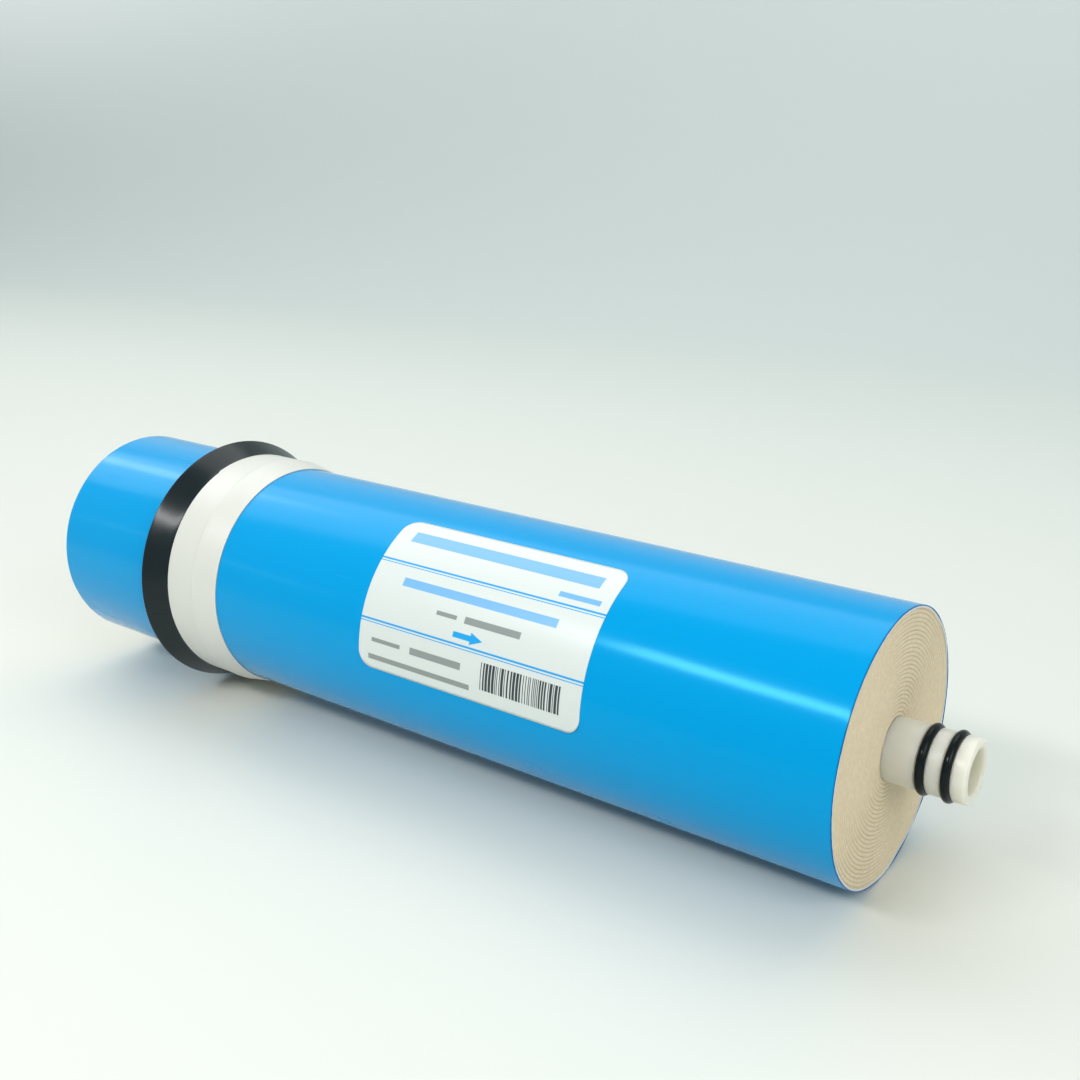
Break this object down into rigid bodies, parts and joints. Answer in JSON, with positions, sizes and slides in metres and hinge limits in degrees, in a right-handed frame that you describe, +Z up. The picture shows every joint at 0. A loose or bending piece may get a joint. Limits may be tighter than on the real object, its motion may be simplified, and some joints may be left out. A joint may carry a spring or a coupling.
{
  "type": "spiral-wound membrane element",
  "caption": "Reverse-osmosis membrane element: a film-wrapped spiral roll with a brine seal near one end and an O-ring spigot at the other.",
  "frame": {"origin": "On the surface it lies on, under the middle of the element's whole length", "axes": "+X along the element's axis, out of the product spigot; +Z up, with the label on the upper -Y side"},
  "size_m": [0.333, 0.0898, 0.0898],
  "materials": {
    "milky_plastic": "smooth, slightly translucent",
    "ring_rubber": "wet-looking gloss",
    "wound_leaves": "matt, fine net on edge",
    "liner_tape": "satin",
    "blue_film": "high gloss",
    "seal_rubber": "satin",
    "white_tape": "semi-gloss",
    "label_paper": "gloss laminate"
  },
  "bodies": {
    "root": {"permeate_tube": "milky_plastic", "o_ring_inner": "ring_rubber", "o_ring_outer": "ring_rubber", "end_plug": "milky_plastic", "membrane_roll": "wound_leaves", "tape_liner": "liner_tape", "outer_film": "blue_film", "brine_seal": "seal_rubber", "seal_tape": "white_tape", "label": "label_paper"}
  },
  "joints": []
}
